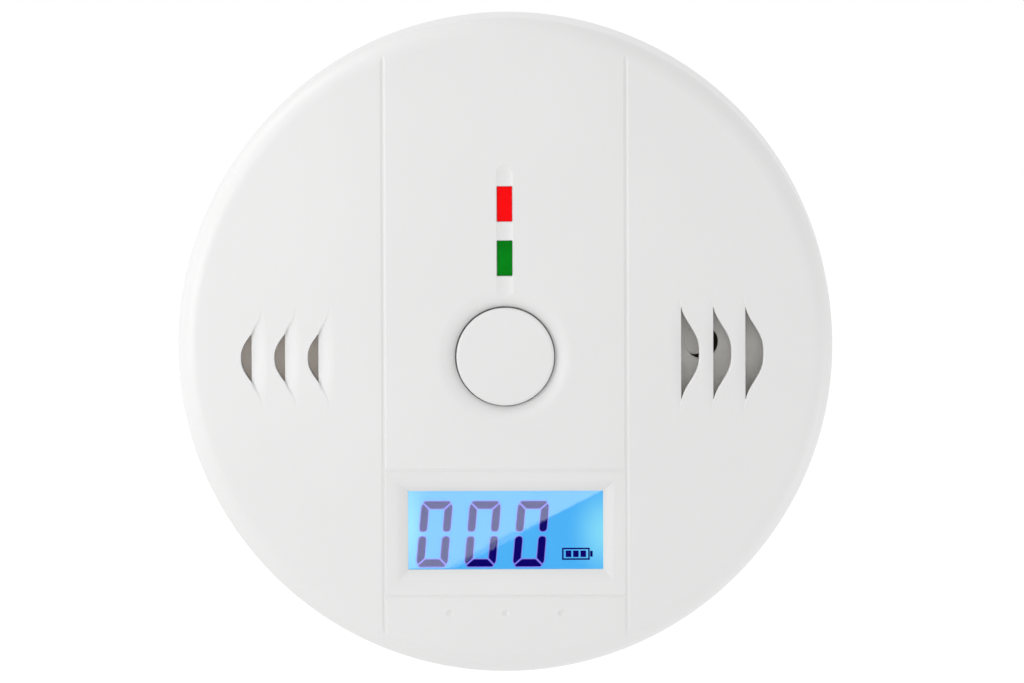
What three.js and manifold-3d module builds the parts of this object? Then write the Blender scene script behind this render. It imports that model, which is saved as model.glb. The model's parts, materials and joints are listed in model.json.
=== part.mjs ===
// Round, battery powered carbon monoxide detector on a wall plate. Millimetres.
//
// Design frame: x to the right and y up on the face, z out from the wall. The last group turns it, so
// that in the finished part +Z is up, the wall is the plane y = 0 and the face looks along -Y. The
// origin is the middle of the mounting plate's back face.
import * as THREE from "three";
import { mergeVertices } from "three/addons/utils/BufferGeometryUtils.js";
import Module from "manifold-3d";

const wasm = await Module();
wasm.setup();

// ---------------------------------------------------------------- driving dimensions
const DEPTH = 38; // wall to face
const REAR_RADIUS = 50; // widest place, at the back of the rear housing
const SEAM_RADIUS = 49.8; // case at the seam between the rear housing and the front cover
const FACE_RADIUS = 49.5; // front cover where the round edge begins
const EDGE_ROUND = 3.1; // radius of the round edge of the face
const WALL = 2; // case wall
const FIT = 0.3; // clearance between neighbouring pieces
const SEAM = 18; // height of the seam above the wall
const SIDES = 48; // facets of the large round pieces

// mounting plate and twist lock
const PLATE_RADIUS = 49;
const PLATE_THICKNESS = 2;
const PLATE_RIM = { inner: 47.2, height: 3 };
const HOOK = { inner: 42.5, stem: 44.5, lip: 46.5, halfAngle: 5.5, lipBack: 5.6, top: 7.1 };
const HOOK_ANGLES = [90, 210, 330];
const TWIST = 12; // degrees from locked to free
const LOCK_CLEARANCE = 0.7; // degrees beside a hook
const SCREW_SLOT = { width: 5, length: 11, offset: 30 };
const POCKET = { inner: 14, outer: 45.5, depth: 0.7, spans: [[20, 57], [63, 117], [123, 160]] };

// rear housing
const HOUSING_BACK = PLATE_RIM.height + FIT;
const HOUSING_FLOOR = HOUSING_BACK + WALL;
const HOUSING_INNER = 47.6;
const TONGUE = { inner: 45.5, outer: 46.7, height: 2 }; // lap that centres the front cover
const BAY = { halfWidth: 23, halfLength: 29, wall: 1.6, ceiling: 18.8, top: 20.3 };

// case screws, driven from the back
const CASE_SCREW = { radius: 42, angles: [30, 150, 270], head: 2.8, shank: 1.3, end: 27 };
const CASE_BOSS = { rear: 4.2, front: 3.2, counterbore: 3.2, hole: 1.6, shoulder: 8.7, pilotEnd: 30 };

// circuit board and its screws
const BOARD = { radius: 41, back: 24, front: 25.6 };
const MOUNTED = BOARD.front + FIT; // back of everything that stands on the board
const BOARD_SCREW = { head: 2.2, headHeight: 1.5, shank: 1.1, end: 17 };
const BOARD_SCREW_PLACES = [[20, 32.5], [-20, 32.5], [25.5, -27], [-25.5, -27]];
const STANDOFF = { radius: 3, hole: 1.4, holeEnd: 15 };

// front cover
const COVER_INNER = 47.2;
const COVER_INSIDE = DEPTH - WALL;
const PANEL = { halfWidth: 18.35, top: 43.6, bottom: -44.6, grooveWidth: 0.5, grooveDepth: 0.4 };
const DISPLAY = { y: -28, width: 29.5, height: 11.9, frameTop: -18.9, frameBottom: -37.95 };
const BUTTON = { y: -1.66, radius: 7.4, dish: 9.4, dishDepth: 0.8 };
const LED = { width: 2.4, length: 5.4, redY: 21.4, greenY: 13.2, top: 37.6 };
const VENT = { halfLength: 9, count: 3, padBack: 34.2 };
const LEFT_VENT = {
  side: -1, y: -1.8, tip: 29.8, pitch: 5.05, mouth: 1.6, amplitude: 3.3, spread: 4.34, power: 2.4,
};
const RIGHT_VENT = {
  side: 1, y: -1.25, tip: 29.3, pitch: 4.85, mouth: 2.7, amplitude: 3, spread: 5.08, power: 2.7,
};

// batteries: three size AA cells side by side, the middle one upside down
const CELL = { radius: 7.1, body: 49.3, nub: 2.75, nubHeight: 1, z: 11, pitch: 14.8 };
const CONTACT = { thickness: 0.5, halfWidth: 5.5, back: 5, front: 17 };
const SPRING = { radius: 3.6, wire: 0.4, turns: 3 };
const SOLDER_TAIL = 22.6;

// ---------------------------------------------------------------- solids
function solid(geometry) {
  const bare = new THREE.BufferGeometry();
  const source = geometry.index ? geometry.toNonIndexed() : geometry;
  bare.setAttribute("position", source.getAttribute("position"));
  const merged = mergeVertices(bare, 1e-4);
  const triangles = [];
  for (let i = 0; i < merged.index.count; i += 3) {
    const [a, b, c] = merged.index.array.slice(i, i + 3);
    if (a !== b && b !== c && c !== a) triangles.push(a, b, c);
  }
  const vertProperties = Float32Array.from(merged.attributes.position.array);
  const triVerts = Uint32Array.from(triangles);
  return new wasm.Manifold(new wasm.Mesh({ numProp: 3, vertProperties, triVerts }));
}

function geometryOf(body) {
  const { vertProperties, triVerts } = body.getMesh();
  const geometry = new THREE.BufferGeometry();
  geometry.setAttribute("position", new THREE.BufferAttribute(vertProperties, 3));
  geometry.setIndex(new THREE.BufferAttribute(triVerts, 1));
  geometry.computeVertexNormals();
  return geometry;
}

function joined(bodies) {
  return bodies.reduce((whole, body) => whole.add(body));
}

function cut(whole, bodies) {
  return bodies.reduce((rest, body) => rest.subtract(body), whole);
}

function prism(shape, from, to, curveSegments = 12) {
  const options = { depth: to - from, bevelEnabled: false, curveSegments };
  return solid(new THREE.ExtrudeGeometry(shape, options).translate(0, 0, from));
}

function rod(radius, from, to, x = 0, y = 0, sides = 16) {
  const geometry = new THREE.CylinderGeometry(radius, radius, to - from, sides);
  return solid(geometry.rotateX(Math.PI / 2).translate(x, y, (from + to) / 2));
}

function block(width, height, from, to, x = 0, y = 0) {
  return solid(new THREE.BoxGeometry(width, height, to - from).translate(x, y, (from + to) / 2));
}

// A profile of [radius, height] points, turned about the z axis.
function turned(profile, sides = SIDES) {
  const points = profile.map(([radius, height]) => new THREE.Vector2(radius, height));
  return solid(new THREE.LatheGeometry(points, sides).rotateX(Math.PI / 2));
}

function sector(inner, outer, fromDegrees, toDegrees) {
  const from = THREE.MathUtils.degToRad(fromDegrees);
  const to = THREE.MathUtils.degToRad(toDegrees);
  const shape = new THREE.Shape();
  shape.absarc(0, 0, outer, from, to, false);
  shape.absarc(0, 0, inner, to, from, true);
  shape.closePath();
  return shape;
}

function roundEnded(length, width) {
  const straight = (length - width) / 2;
  const shape = new THREE.Shape();
  shape.absarc(straight, 0, width / 2, -Math.PI / 2, Math.PI / 2, false);
  shape.absarc(-straight, 0, width / 2, Math.PI / 2, Math.PI * 1.5, false);
  shape.closePath();
  return shape;
}

function polar(radius, degrees) {
  const angle = THREE.MathUtils.degToRad(degrees);
  return [radius * Math.cos(angle), radius * Math.sin(angle)];
}

// A quarter round from the outside of a profile to its end face.
function quarterRound(radius, height, round, steps) {
  const points = [];
  for (let i = 0; i <= steps; i += 1) {
    const angle = (Math.PI / 2) * (i / steps);
    const along = round * Math.cos(angle);
    const up = round * Math.sin(angle);
    points.push([radius - round + along, height - round + up]);
  }
  return points;
}

// ---------------------------------------------------------------- finishes
function finish(color, roughness, metalness = 0) {
  return new THREE.MeshStandardMaterial({ color, roughness, metalness });
}

const whiteCase = finish(0xf0efec, 0.45);
const whitePlate = finish(0xe9e8e4, 0.5);
const greenBoard = finish(0x1f6b3a, 0.45);
const blackPlastic = finish(0x1a1a1c, 0.4);
const greyPlastic = finish(0x8f8a84, 0.5);
const metal = finish(0xc9c9c6, 0.3, 1);
const brass = finish(0xc8a45a, 0.35, 1);
const redLens = finish(0xf5141e, 0.2);
const greenLens = finish(0x0c8f24, 0.2);
const displayBlue = finish(0x4fb4f5, 0.2);
const clear = finish(0xdfeefa, 0.08);
const whiteFrame = finish(0xe4e4e2, 0.5);
const darkRubber = finish(0x4a3f3c, 0.8);
const cellWrap = finish(0x2c3f7a, 0.35);
const redLead = finish(0xb3171c, 0.5);
const blackLead = finish(0x19191a, 0.5);

function piece(name, body, material) {
  const mesh = new THREE.Mesh(geometryOf(body), material);
  mesh.name = name;
  return mesh;
}

// ---------------------------------------------------------------- mounting plate
function mountingPlate() {
  const disc = turned([
    [0, 0],
    [PLATE_RADIUS, 0],
    [PLATE_RADIUS, PLATE_RIM.height],
    [PLATE_RIM.inner, PLATE_RIM.height],
    [PLATE_RIM.inner, PLATE_THICKNESS],
    [0, PLATE_THICKNESS],
  ]);
  const hooks = HOOK_ANGLES.map((angle) => {
    const from = angle - HOOK.halfAngle;
    const to = angle + HOOK.halfAngle;
    const stem = prism(sector(HOOK.inner, HOOK.stem, from, to), 1, HOOK.top, 4);
    return stem.add(prism(sector(HOOK.inner, HOOK.lip, from, to), HOOK.lipBack, HOOK.top, 4));
  });
  // shallow pockets in the back leave a hub, a rim and ribs that rest on the wall
  const pockets = [0, 180].flatMap((turn) => POCKET.spans.map(([from, to]) => {
    return prism(sector(POCKET.inner, POCKET.outer, turn + from, turn + to), -1, POCKET.depth, 4);
  }));
  const slot = roundEnded(SCREW_SLOT.length, SCREW_SLOT.width);
  const level = prism(slot, -1, PLATE_THICKNESS + 1, 6).translate([-SCREW_SLOT.offset, 0, 0]);
  const upright = prism(slot, -1, PLATE_THICKNESS + 1, 6).rotate([0, 0, 90]);
  const slots = [level, upright.translate([SCREW_SLOT.offset, 0, 0])];
  return cut(joined([disc, ...hooks]), [...pockets, ...slots]);
}

// ---------------------------------------------------------------- rear housing
function lockSlots() {
  const reach = HOOK.halfAngle + LOCK_CLEARANCE;
  const inner = HOOK.inner - FIT;
  return HOOK_ANGLES.flatMap((angle) => {
    const track = sector(inner, HOOK.stem + FIT, angle - TWIST - reach, angle + reach);
    const entry = sector(inner, HOOK.lip + FIT + 0.1, angle - TWIST - reach, angle - TWIST + reach);
    return [track, entry].map((shape) => prism(shape, HOUSING_BACK - 1, HOUSING_FLOOR + 1, 4));
  });
}

function rearHousing() {
  const shell = turned([
    [0, HOUSING_BACK],
    [REAR_RADIUS - 0.6, HOUSING_BACK],
    [REAR_RADIUS, HOUSING_BACK + 0.6],
    [SEAM_RADIUS, SEAM],
    [TONGUE.outer, SEAM],
    [TONGUE.outer, SEAM + TONGUE.height],
    [TONGUE.inner, SEAM + TONGUE.height],
    [TONGUE.inner, SEAM - 1],
    [HOUSING_INNER, SEAM - 3],
    [HOUSING_INNER, HOUSING_FLOOR],
    [0, HOUSING_FLOOR],
  ]);
  const bayWidth = 2 * BAY.halfWidth;
  const bayLength = 2 * BAY.halfLength;
  const tub = block(bayWidth + 2 * BAY.wall, bayLength + 2 * BAY.wall, HOUSING_BACK, BAY.top);
  const bay = block(bayWidth, bayLength, HOUSING_BACK - 1, BAY.ceiling);
  const standoffs = BOARD_SCREW_PLACES.map(([x, y]) => {
    return rod(STANDOFF.radius, HOUSING_BACK + 1, BOARD.back - FIT, x, y);
  });
  const standoffHoles = BOARD_SCREW_PLACES.map(([x, y]) => {
    return rod(STANDOFF.hole, STANDOFF.holeEnd, BOARD.back, x, y, 8);
  });
  const bosses = CASE_SCREW.angles.map((angle) => {
    return rod(CASE_BOSS.rear, HOUSING_BACK + 1, SEAM - 0.5, ...polar(CASE_SCREW.radius, angle));
  });
  const bossHoles = CASE_SCREW.angles.flatMap((angle) => {
    const [x, y] = polar(CASE_SCREW.radius, angle);
    const counterbore = rod(CASE_BOSS.counterbore, HOUSING_BACK - 1, CASE_BOSS.shoulder, x, y);
    return [counterbore, rod(CASE_BOSS.hole, HOUSING_BACK, SEAM, x, y, 8)];
  });
  // a short slot at each end of the bay lets a contact's solder tail through the ceiling
  const tailSlots = [[CELL.pitch, 1], [-CELL.pitch, -1]].map(([x, end]) => {
    return block(4, 1.2, BAY.ceiling - 1, BAY.top + 1, x, end * contactMiddle());
  });
  const whole = joined([shell, tub, ...standoffs, ...bosses]);
  return cut(whole, [bay, ...standoffHoles, ...bossHoles, ...lockSlots(), ...tailSlots]);
}

// ---------------------------------------------------------------- front cover
// The curved edge of a louvre: a bell that bulges away from the middle of the face.
function bell(vent, index, y) {
  const tip = vent.tip + index * vent.pitch;
  const rise = Math.exp(-((Math.abs(y - vent.y) / vent.spread) ** vent.power));
  return vent.side * (tip - vent.amplitude * (1 - rise));
}

// Half the length of a mouth, which ends where the bell meets its straight lip.
function mouthHalfLength(vent) {
  return vent.spread * (-Math.log(1 - vent.mouth / vent.amplitude)) ** (1 / vent.power);
}

function bellShape(vent, index, straight, halfLength) {
  const steps = 10;
  const shape = new THREE.Shape();
  shape.moveTo(straight, vent.y - halfLength);
  for (let i = 0; i <= steps; i += 1) {
    const y = vent.y - halfLength + (2 * halfLength * i) / steps;
    shape.lineTo(bell(vent, index, y), y);
  }
  shape.lineTo(straight, vent.y + halfLength);
  shape.closePath();
  return shape;
}

function ventCuts(vent) {
  const cuts = [];
  for (let index = 0; index < VENT.count; index += 1) {
    const tip = vent.side * (vent.tip + index * vent.pitch);
    const foot = tip - vent.side * (vent.amplitude + 0.4);
    const lip = tip - vent.side * vent.mouth;
    const scoop = prism(bellShape(vent, index, foot, VENT.halfLength), COVER_INSIDE, DEPTH + 1);
    const ramp = new THREE.Shape([
      new THREE.Vector2(foot, DEPTH),
      new THREE.Vector2(tip + vent.side, DEPTH - 1.6),
      new THREE.Vector2(tip + vent.side, DEPTH + 1),
      new THREE.Vector2(foot, DEPTH + 1),
    ]);
    const length = 2 * VENT.halfLength + 2;
    const wedge = prism(ramp, -length / 2, length / 2).rotate([90, 0, 0]).translate([0, vent.y, 0]);
    const mouth = prism(bellShape(vent, index, lip, mouthHalfLength(vent)), VENT.padBack - 1, DEPTH + 1);
    cuts.push(scoop.intersect(wedge), mouth);
  }
  return cuts;
}

function ventPad(vent) {
  const outer = vent.tip + (VENT.count - 1) * vent.pitch + 2;
  const inner = vent.tip - vent.amplitude - 1;
  const height = 2 * VENT.halfLength + 3;
  const middle = (vent.side * (outer + inner)) / 2;
  return block(outer - inner, height, VENT.padBack, COVER_INSIDE + 0.5, middle, vent.y);
}

function groove(length, x, y, upright) {
  const half = PANEL.grooveWidth / 2;
  const section = new THREE.Shape([
    new THREE.Vector2(-half, DEPTH + 0.01),
    new THREE.Vector2(0, DEPTH - PANEL.grooveDepth),
    new THREE.Vector2(half, DEPTH + 0.01),
  ]);
  const bar = prism(section, -length / 2, length / 2).rotate([90, 0, 0]);
  return bar.rotate([0, 0, upright ? 0 : 90]).translate([x, y, 0]);
}

function panelGrooves() {
  const length = PANEL.top - PANEL.bottom;
  const middle = (PANEL.top + PANEL.bottom) / 2;
  const sides = [-1, 1].map((side) => groove(length, side * PANEL.halfWidth, middle, true));
  const across = [DISPLAY.frameTop, DISPLAY.frameBottom].map((y) => {
    return groove(2 * PANEL.halfWidth, 0, y, false);
  });
  return [...sides, ...across];
}

// The sunk frame of the display: a four-sided funnel from the grooves down to the window.
function displayFunnel() {
  const wide = 2 * PANEL.halfWidth - PANEL.grooveWidth;
  const tall = DISPLAY.frameTop - DISPLAY.frameBottom - PANEL.grooveWidth;
  const geometry = new THREE.BoxGeometry(1, 1, WALL + 0.02);
  const position = geometry.getAttribute("position");
  for (let i = 0; i < position.count; i += 1) {
    const front = position.getZ(i) > 0;
    const width = front ? wide : DISPLAY.width;
    const height = front ? tall : DISPLAY.height;
    position.setX(i, position.getX(i) * width);
    position.setY(i, position.getY(i) * height);
  }
  const middle = (DISPLAY.frameTop + DISPLAY.frameBottom) / 2;
  return solid(geometry.translate(0, middle, COVER_INSIDE + WALL / 2));
}

function frontCover() {
  const face = quarterRound(FACE_RADIUS, DEPTH, EDGE_ROUND, 5);
  const inside = quarterRound(COVER_INNER, COVER_INSIDE, 1.4, 2).reverse();
  const shell = turned([
    [COVER_INNER, SEAM + FIT],
    [SEAM_RADIUS, SEAM + FIT],
    ...face,
    [0, DEPTH],
    [0, COVER_INSIDE],
    ...inside,
    [COVER_INNER, SEAM + FIT],
  ]);
  const bosses = CASE_SCREW.angles.map((angle) => {
    const [x, y] = polar(CASE_SCREW.radius, angle);
    return rod(CASE_BOSS.front, SEAM - 0.2, COVER_INSIDE + 0.5, x, y);
  });
  const pilots = CASE_SCREW.angles.map((angle) => {
    const [x, y] = polar(CASE_SCREW.radius, angle);
    return rod(CASE_BOSS.hole, SEAM - 1, CASE_BOSS.pilotEnd, x, y, 8);
  });
  const dish = turned([
    [0, DEPTH - BUTTON.dishDepth],
    [BUTTON.radius, DEPTH - BUTTON.dishDepth],
    [BUTTON.dish, DEPTH + 0.01],
    [0, DEPTH + 0.01],
  ], 32).translate([0, BUTTON.y, 0]);
  const buttonHole = rod(BUTTON.radius + FIT, COVER_INSIDE - 1, DEPTH + 1, 0, BUTTON.y, 32);
  const ledSlots = [LED.redY, LED.greenY].map((y) => {
    return block(LED.width + 2 * FIT, LED.length + 2 * FIT, COVER_INSIDE - 1, DEPTH + 1, 0, y);
  });
  const whole = joined([shell, ...bosses, ventPad(LEFT_VENT), ventPad(RIGHT_VENT)]);
  const cuts = [dish, buttonHole, displayFunnel(), ...ledSlots, ...pilots, ...panelGrooves()];
  return cut(whole, [...cuts, ...ventCuts(LEFT_VENT), ...ventCuts(RIGHT_VENT)]);
}

// ---------------------------------------------------------------- test button and its switch
const SWITCH = { size: 6, top: 29.4, well: 2, wellEnd: 27.2, plunger: 1.7, back: 28.1, front: 30.9 };
const FLANGE = { radius: 8.6, back: 34.6, front: 35.5 };

function testButton() {
  return turned([
    [0, SWITCH.front + FIT],
    [1.8, SWITCH.front + FIT],
    [1.8, FLANGE.back],
    [FLANGE.radius, FLANGE.back],
    [FLANGE.radius, FLANGE.front],
    [BUTTON.radius, FLANGE.front],
    ...quarterRound(BUTTON.radius, DEPTH - 0.2, 0.5, 2),
    [0, DEPTH - 0.2],
  ], 32);
}

function switchBody() {
  const body = block(SWITCH.size, SWITCH.size, MOUNTED, SWITCH.top);
  return body.subtract(rod(SWITCH.well, SWITCH.wellEnd, SWITCH.top + 1));
}

// ---------------------------------------------------------------- circuit board and what it carries
function circuitBoard() {
  const board = rod(BOARD.radius, BOARD.back, BOARD.front, 0, 0, SIDES);
  const notches = CASE_SCREW.angles.map((angle) => {
    const [x, y] = polar(CASE_SCREW.radius, angle);
    return rod(CASE_BOSS.front + 0.5, BOARD.back - 1, BOARD.front + 1, x, y);
  });
  const holes = BOARD_SCREW_PLACES.map(([x, y]) => {
    return rod(STANDOFF.hole, BOARD.back - 1, BOARD.front + 1, x, y, 8);
  });
  return cut(board, [...notches, ...holes]);
}

function microcontroller() {
  const size = 7;
  const perSide = 5;
  const legs = [];
  for (let side = 0; side < 4; side += 1) {
    for (let i = 0; i < perSide; i += 1) {
      const along = (i - (perSide - 1) / 2) * 1.2;
      const leg = block(0.4, 1.6, MOUNTED, MOUNTED + 0.5, along, size / 2 + 0.5);
      legs.push(leg.rotate([0, 0, side * 90]));
    }
  }
  return joined([block(size, size, MOUNTED + 0.2, MOUNTED + 1.7), ...legs]);
}

function capacitor(radius, height) {
  const base = block(2 * radius + 0.4, 2 * radius + 0.4, MOUNTED, MOUNTED + 1);
  const can = turned([
    [0, MOUNTED + 0.5],
    [radius, MOUNTED + 0.5],
    [radius, MOUNTED + 1.8],
    [radius - 0.3, MOUNTED + 2.2],
    [radius, MOUNTED + 2.6],
    ...quarterRound(radius, MOUNTED + height, 0.4, 1),
    [0, MOUNTED + height],
  ], 20);
  return base.add(can);
}

function stepUpCoil() {
  return turned([
    [0, MOUNTED],
    [4, MOUNTED],
    [4, MOUNTED + 1.2],
    [3.4, MOUNTED + 1.4],
    [3.4, MOUNTED + 6.2],
    [4, MOUNTED + 6.4],
    [4, MOUNTED + 7.6],
    [0, MOUNTED + 7.6],
  ], 20);
}

function crystal() {
  const base = prism(roundEnded(11, 4.8), MOUNTED, MOUNTED + 0.6, 6);
  return base.add(prism(roundEnded(10.2, 4), MOUNTED + 0.3, MOUNTED + 3.6, 6));
}

function trimmer() {
  const body = block(6, 6, MOUNTED, MOUNTED + 3.6);
  const dial = rod(2.2, MOUNTED + 3, MOUNTED + 4.4);
  const driverSlot = block(0.7, 5, MOUNTED + 3.9, MOUNTED + 5);
  return body.add(dial).subtract(driverSlot);
}

const SENSOR = { x: -34, y: -1.8, base: 9.4, can: 8.8, height: 5.6, cap: 8, capHeight: 1.6 };

function sensorCan() {
  return turned([
    [0, MOUNTED],
    [SENSOR.base, MOUNTED],
    [SENSOR.base, MOUNTED + 0.8],
    [SENSOR.can, MOUNTED + 0.8],
    ...quarterRound(SENSOR.can, MOUNTED + SENSOR.height, 0.8, 2),
    [0, MOUNTED + SENSOR.height],
  ], 24);
}

// filter lid over the sensor, with a ring of gas holes
function sensorCap() {
  const back = MOUNTED + SENSOR.height + FIT;
  const lid = rod(SENSOR.cap, back, back + SENSOR.capHeight, 0, 0, 24);
  const holes = [];
  for (let i = 0; i < 6; i += 1) {
    holes.push(rod(0.6, back - 1, back + 3, ...polar(2.6, i * 60), 8));
  }
  return cut(lid, holes);
}

const SOUNDER = { x: 29.65, y: 0.35, radius: 11.8, front: 33.6, hole: 2.53, flat: 6.8, ledge: 29.9 };
const BAFFLE = { radius: 2.1, x: -1.05, y: 0.15, depth: 0.5, thickness: 0.9 };

// The cup has a sound hole, which a round baffle on the hole's left wall partly covers.
function sounderHousing() {
  const cup = turned([
    [SOUNDER.radius, MOUNTED],
    [SOUNDER.radius, SOUNDER.front - 1.2],
    [SOUNDER.radius - 0.8, SOUNDER.front - 0.5],
    [SOUNDER.flat + 2.4, SOUNDER.front - 0.25],
    [SOUNDER.flat, SOUNDER.front],
    [SOUNDER.hole, SOUNDER.front],
    [SOUNDER.hole, SOUNDER.front - 1.6],
    [9.6, SOUNDER.front - 1.6],
    [9.6, SOUNDER.ledge],
    [10.8, SOUNDER.ledge],
    [10.8, MOUNTED],
    [SOUNDER.radius, MOUNTED],
  ], 32);
  const top = SOUNDER.front - BAFFLE.depth;
  return cup.add(rod(BAFFLE.radius, top - BAFFLE.thickness, top, BAFFLE.x, BAFFLE.y, 24));
}

function sounderDisc() {
  const plate = rod(10.4, SOUNDER.ledge - 0.6, SOUNDER.ledge - FIT, 0, 0, 24);
  return plate.add(rod(7, SOUNDER.ledge - 0.9, SOUNDER.ledge - 0.5, 0, 0, 24));
}

// A rectangular light emitting diode: lens, foot flange and two legs.
function led() {
  const lens = block(LED.width, LED.length, 28, LED.top);
  const flange = block(LED.width + 1.2, LED.length + 1, 27.6, 29.2);
  const legs = [-1.27, 1.27].map((y) => block(0.5, 0.5, MOUNTED, 28, 0, y));
  return joined([lens, flange, ...legs]);
}

// ---------------------------------------------------------------- display
const GLASS = { width: 33, bottom: -36.2, top: -19.2, back: 32.5, front: 34.2 };
const BACKLIGHT = { width: 32.8, bottom: -35.9, top: -21.3, back: 29.6 };
const ZEBRA = { width: 30, bottom: -20.7, top: -19.1 };
const HOLDER = { halfWidth: 19, bottom: -38.4, top: -17.1, front: 35.6, ledge: 29.3 };

function span(width, bottom, top, from, to) {
  return block(width, top - bottom, from, to, 0, (top + bottom) / 2);
}

function displayHolder() {
  const frame = span(2 * HOLDER.halfWidth, HOLDER.bottom, HOLDER.top, MOUNTED, HOLDER.front);
  const pocketTop = GLASS.top + 0.4;
  const pocketWidth = GLASS.width + 0.8;
  const pocket = span(pocketWidth, GLASS.bottom - 0.4, pocketTop, HOLDER.ledge, HOLDER.front + 1);
  const well = span(28, BACKLIGHT.bottom + 2.4, BACKLIGHT.top - 2, MOUNTED - 1, HOLDER.ledge + 1);
  const channel = span(ZEBRA.width + 0.8, ZEBRA.bottom - 0.3, pocketTop, MOUNTED - 1, HOLDER.ledge + 1);
  return cut(frame, [pocket, well, channel]);
}

// ---------------------------------------------------------------- batteries and their contacts
function contactMiddle() {
  return BAY.halfLength - FIT - CONTACT.thickness / 2;
}

// A cell along +y, its nub just short of the contact plate at the end of the bay.
function cell() {
  const end = contactMiddle() - CONTACT.thickness / 2 - FIT;
  const shoulder = end - CELL.nubHeight;
  const foot = shoulder - CELL.body;
  const geometry = new THREE.LatheGeometry([
    [0, foot],
    [CELL.radius - 0.5, foot],
    [CELL.radius, foot + 0.5],
    [CELL.radius, shoulder - 0.5],
    [CELL.radius - 0.5, shoulder],
    [CELL.nub, shoulder],
    [CELL.nub, end],
    [0, end],
  ].map(([radius, height]) => new THREE.Vector2(radius, height)), 24);
  return solid(geometry);
}

class SpringCurve extends THREE.Curve {
  getPoint(t, target = new THREE.Vector3()) {
    const angle = 2 * Math.PI * SPRING.turns * t;
    const radius = SPRING.radius - 0.9 * t;
    return target.set(radius * Math.cos(angle), -5.2 * t, radius * Math.sin(angle));
  }
}

// A compression spring that reaches from the contact plate at y = 0 down to the cell's foot.
function spring() {
  const wire = new THREE.Shape();
  wire.absarc(0, 0, SPRING.wire, 0, 2 * Math.PI, false);
  const steps = 9 * SPRING.turns;
  const options = { extrudePath: new SpringCurve(), steps, curveSegments: 3, bevelEnabled: false };
  return solid(new THREE.ExtrudeGeometry(wire, options));
}

function contactPlate(x, halfWidth) {
  return solid(new THREE.BoxGeometry(2 * halfWidth, CONTACT.thickness, CONTACT.front - CONTACT.back)
    .translate(x, 0, (CONTACT.front + CONTACT.back) / 2));
}

// Every contact is drawn at the upper end of the bay; the lower ones are turned half a turn.
function contact(halfWidth, springX, tailX) {
  const parts = [contactPlate(0, halfWidth)];
  if (springX !== null) parts.push(spring().translate([springX, 0, CELL.z]));
  if (tailX !== null) parts.push(block(3, CONTACT.thickness, CONTACT.back + 1, SOLDER_TAIL, tailX, 0));
  return joined(parts);
}

// A lead from a solder tail over the bay's ceiling to the back of the board.
function lead(points) {
  const path = new THREE.CatmullRomCurve3(points.map((point) => new THREE.Vector3(...point)));
  const section = new THREE.Shape();
  section.absarc(0, 0, 0.6, 0, 2 * Math.PI, false);
  const options = { extrudePath: path, steps: 14, curveSegments: 3, bevelEnabled: false };
  return solid(new THREE.ExtrudeGeometry(section, options));
}

// ---------------------------------------------------------------- screws
function crossRecess(top, size) {
  const bar = block(2 * size, 0.5, top - 0.8, top + 1);
  return bar.add(bar.rotate([0, 0, 90]));
}

function caseScrew() {
  const shoulder = CASE_BOSS.shoulder - FIT;
  const head = rod(CASE_SCREW.head, shoulder - 2, shoulder);
  const shank = rod(CASE_SCREW.shank, shoulder - 0.5, CASE_SCREW.end, 0, 0, 8);
  const recess = crossRecess(0, 1.5).rotate([180, 0, 0]).translate([0, 0, shoulder - 2]);
  return head.add(shank).subtract(recess);
}

function boardScrew() {
  const top = MOUNTED + BOARD_SCREW.headHeight;
  const head = rod(BOARD_SCREW.head, MOUNTED, top);
  const shank = rod(BOARD_SCREW.shank, BOARD_SCREW.end, MOUNTED + 0.5, 0, 0, 8);
  return head.add(shank).subtract(crossRecess(top, 1.2));
}

// ---------------------------------------------------------------- assembly
function place(mesh, x, y, z = 0) {
  mesh.position.set(x, y, z);
  return mesh;
}

function buttonGroup() {
  const group = new THREE.Group();
  group.add(piece("test_button", testButton(), whiteCase));
  group.add(piece("switch_plunger", rod(SWITCH.plunger, SWITCH.back, SWITCH.front), blackPlastic));
  group.add(piece("switch_body", switchBody(), blackPlastic));
  return place(group, 0, BUTTON.y);
}

function boardGroup() {
  const group = new THREE.Group();
  group.add(piece("circuit_board", circuitBoard(), greenBoard));
  group.add(place(piece("microcontroller", microcontroller(), blackPlastic), -14, 20));
  group.add(place(piece("filter_capacitor_1", capacitor(3.15, 7.2), metal), 13, 22));
  group.add(place(piece("filter_capacitor_2", capacitor(2.5, 5.4), metal), 10, 31));
  group.add(place(piece("step_up_coil", stepUpCoil(), brass), 12.5, 10));
  group.add(place(piece("crystal", crystal(), metal), -8, 31));
  group.add(place(piece("trimmer", trimmer(), whiteFrame), -14, -12));
  group.add(place(piece("co_sensor", sensorCan(), metal), SENSOR.x, SENSOR.y));
  group.add(place(piece("sensor_cap", sensorCap(), greyPlastic), SENSOR.x, SENSOR.y));
  group.add(place(piece("sounder_housing", sounderHousing(), greyPlastic), SOUNDER.x, SOUNDER.y));
  group.add(place(piece("sounder_disc", sounderDisc(), brass), SOUNDER.x, SOUNDER.y));
  group.add(place(piece("alarm_led", led(), redLens), 0, LED.redY));
  group.add(place(piece("power_led", led(), greenLens), 0, LED.greenY));
  BOARD_SCREW_PLACES.forEach(([x, y], index) => {
    group.add(place(piece(`board_screw_${index + 1}`, boardScrew(), metal), x, y));
  });
  return group;
}

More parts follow.
